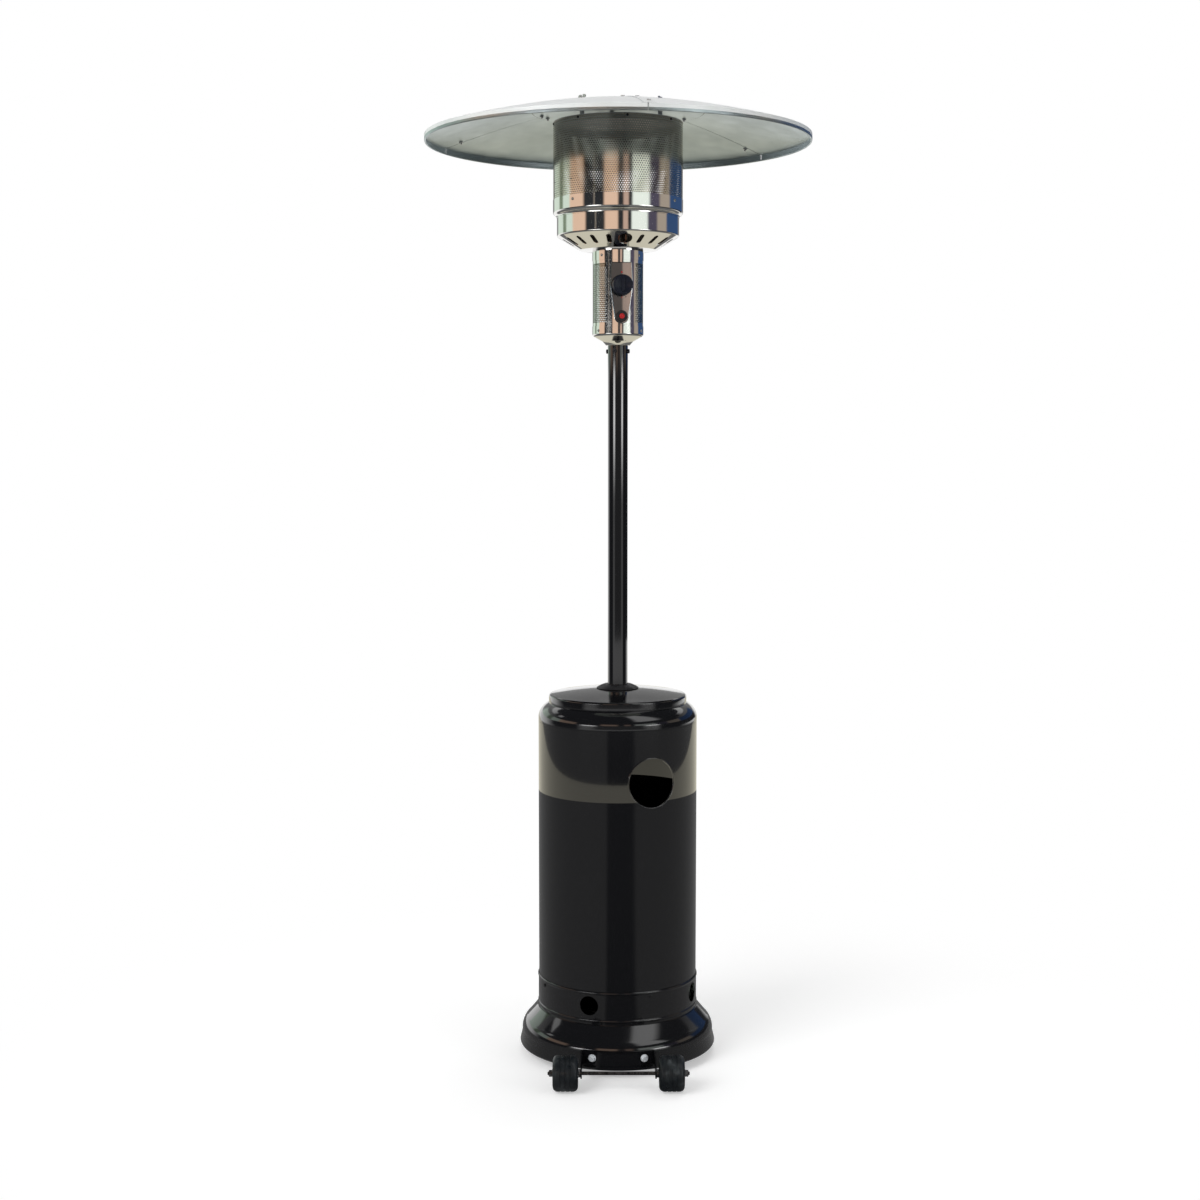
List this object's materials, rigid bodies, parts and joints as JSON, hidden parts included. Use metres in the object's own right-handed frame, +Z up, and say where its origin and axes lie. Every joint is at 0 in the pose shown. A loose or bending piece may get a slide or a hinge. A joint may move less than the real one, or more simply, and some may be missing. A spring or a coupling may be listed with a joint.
{
  "type": "patio heater",
  "caption": "Full-height gas patio heater: round reflector over a mesh burner head on a pole, with a cylinder housing that lifts off and a wheeled spun base.",
  "frame": {"origin": "on the floor, on the pole's axis, in the middle of the part's extent", "axes": "+Z up along the pole, -Y towards the wheels (front), +X to the right seen from the front"},
  "size_m": [0.876, 0.8759, 2.198],
  "materials": {
    "black_enamel": "gloss black enamel",
    "inner_steel": "plain zinc-coated sheet",
    "polished_steel": "polished stainless sheet",
    "burner_steel": "stainless sheet, heat tinted",
    "aluminium": "satin sheet",
    "zinc": "bright zinc plate",
    "dark_steel": "dark drawn rod",
    "brass": "machined brass",
    "copper": "drawn copper tube",
    "black_plastic": "black moulded plastic",
    "red_plastic": "red moulded plastic",
    "lead_insulation": "white insulated lead",
    "rubber": "black rubber",
    "hub_plastic": "dark moulded plastic",
    "tyre": "worn black rubber"
  },
  "bodies": {
    "stand": {"base_skirt": "black_enamel", "wheel_bracket": "black_enamel", "pole": "black_enamel", "support_leg_1": "inner_steel", "support_leg_2": "inner_steel", "support_leg_3": "inner_steel", "pole_flange": "inner_steel", "pilot_shelf": "inner_steel", "neck_cup": "polished_steel", "control_housing": "polished_steel", "control_collar": "polished_steel", "control_panel": "polished_steel", "flange_ring": "polished_steel", "burner_dish": "polished_steel", "emitter_screen": "polished_steel", "emitter_cap": "polished_steel", "burner": "burner_steel", "burner_plate": "burner_steel", "venturi_tube": "burner_steel", "hub_plate": "aluminium", "reflector_panel_1": "aluminium", "reflector_panel_2": "aluminium", "reflector_panel_3": "aluminium", "foot_screws": "zinc", "bracket_bolts": "zinc", "axle_spacers": "zinc", "axle_nuts": "zinc", "leg_bolts": "zinc", "pole_bolts": "zinc", "head_screws": "zinc", "flange_screws": "zinc", "seam_screws": "zinc", "reflector_studs": "zinc", "wing_nuts": "zinc", "valve_nut": "zinc", "wheel_axle": "dark_steel", "valve_body": "brass", "valve_bonnet": "brass", "inlet_pipe": "brass", "gas_nozzle": "brass", "pilot_tube": "copper", "thermocouple": "copper", "igniter_body": "black_plastic", "tilt_switch": "black_plastic", "igniter_lead": "lead_insulation", "rubber_feet": "rubber"},
    "cylinder_housing": {"vent_ring": "black_enamel", "barrel": "black_enamel", "ring_screws": "zinc", "shoulder": "black_enamel", "lid": "black_enamel", "pole_collar": "black_plastic"},
    "left_wheel": {"left_wheel_hub": "hub_plastic", "left_wheel_tyre": "tyre"},
    "right_wheel": {"right_wheel_hub": "hub_plastic", "right_wheel_tyre": "tyre"},
    "valve_plug": {"valve_plug": "brass"},
    "gas_knob": {"gas_knob": "black_plastic", "knob_spindle": "zinc"},
    "igniter_button": {"igniter_button": "red_plastic"}
  },
  "joints": [
    {"name": "housing_lift", "type": "slide", "parent": "stand", "child": "cylinder_housing", "axis": [0, 0, 1], "range_m": [0, 0.7]},
    {"name": "left_wheel_spin", "type": "hinge", "parent": "stand", "child": "left_wheel", "pos_m": [-0.11725, -0.3, 0.0405], "axis": [1, 0, 0], "continuous": true},
    {"name": "right_wheel_spin", "type": "hinge", "parent": "stand", "child": "right_wheel", "pos_m": [0.11725, -0.3, 0.0405], "axis": [1, 0, 0], "continuous": true},
    {"name": "valve_turn", "type": "hinge", "parent": "stand", "child": "valve_plug", "pos_m": [0, 0, 1.7773], "axis": [0.1305, -0.9914, 0], "range_deg": [0, 210]},
    {"name": "knob_push", "type": "slide", "parent": "valve_plug", "child": "gas_knob", "axis": [-0.1305, 0.9914, 0], "range_m": [0, 0.003], "stiffness_N_per_m": 1500, "springref_m": -0.002},
    {"name": "button_push", "type": "slide", "parent": "stand", "child": "igniter_button", "axis": [-0.1305, 0.9914, 0], "range_m": [0, 0.004], "stiffness_N_per_m": 1000, "springref_m": -0.002}
  ]
}
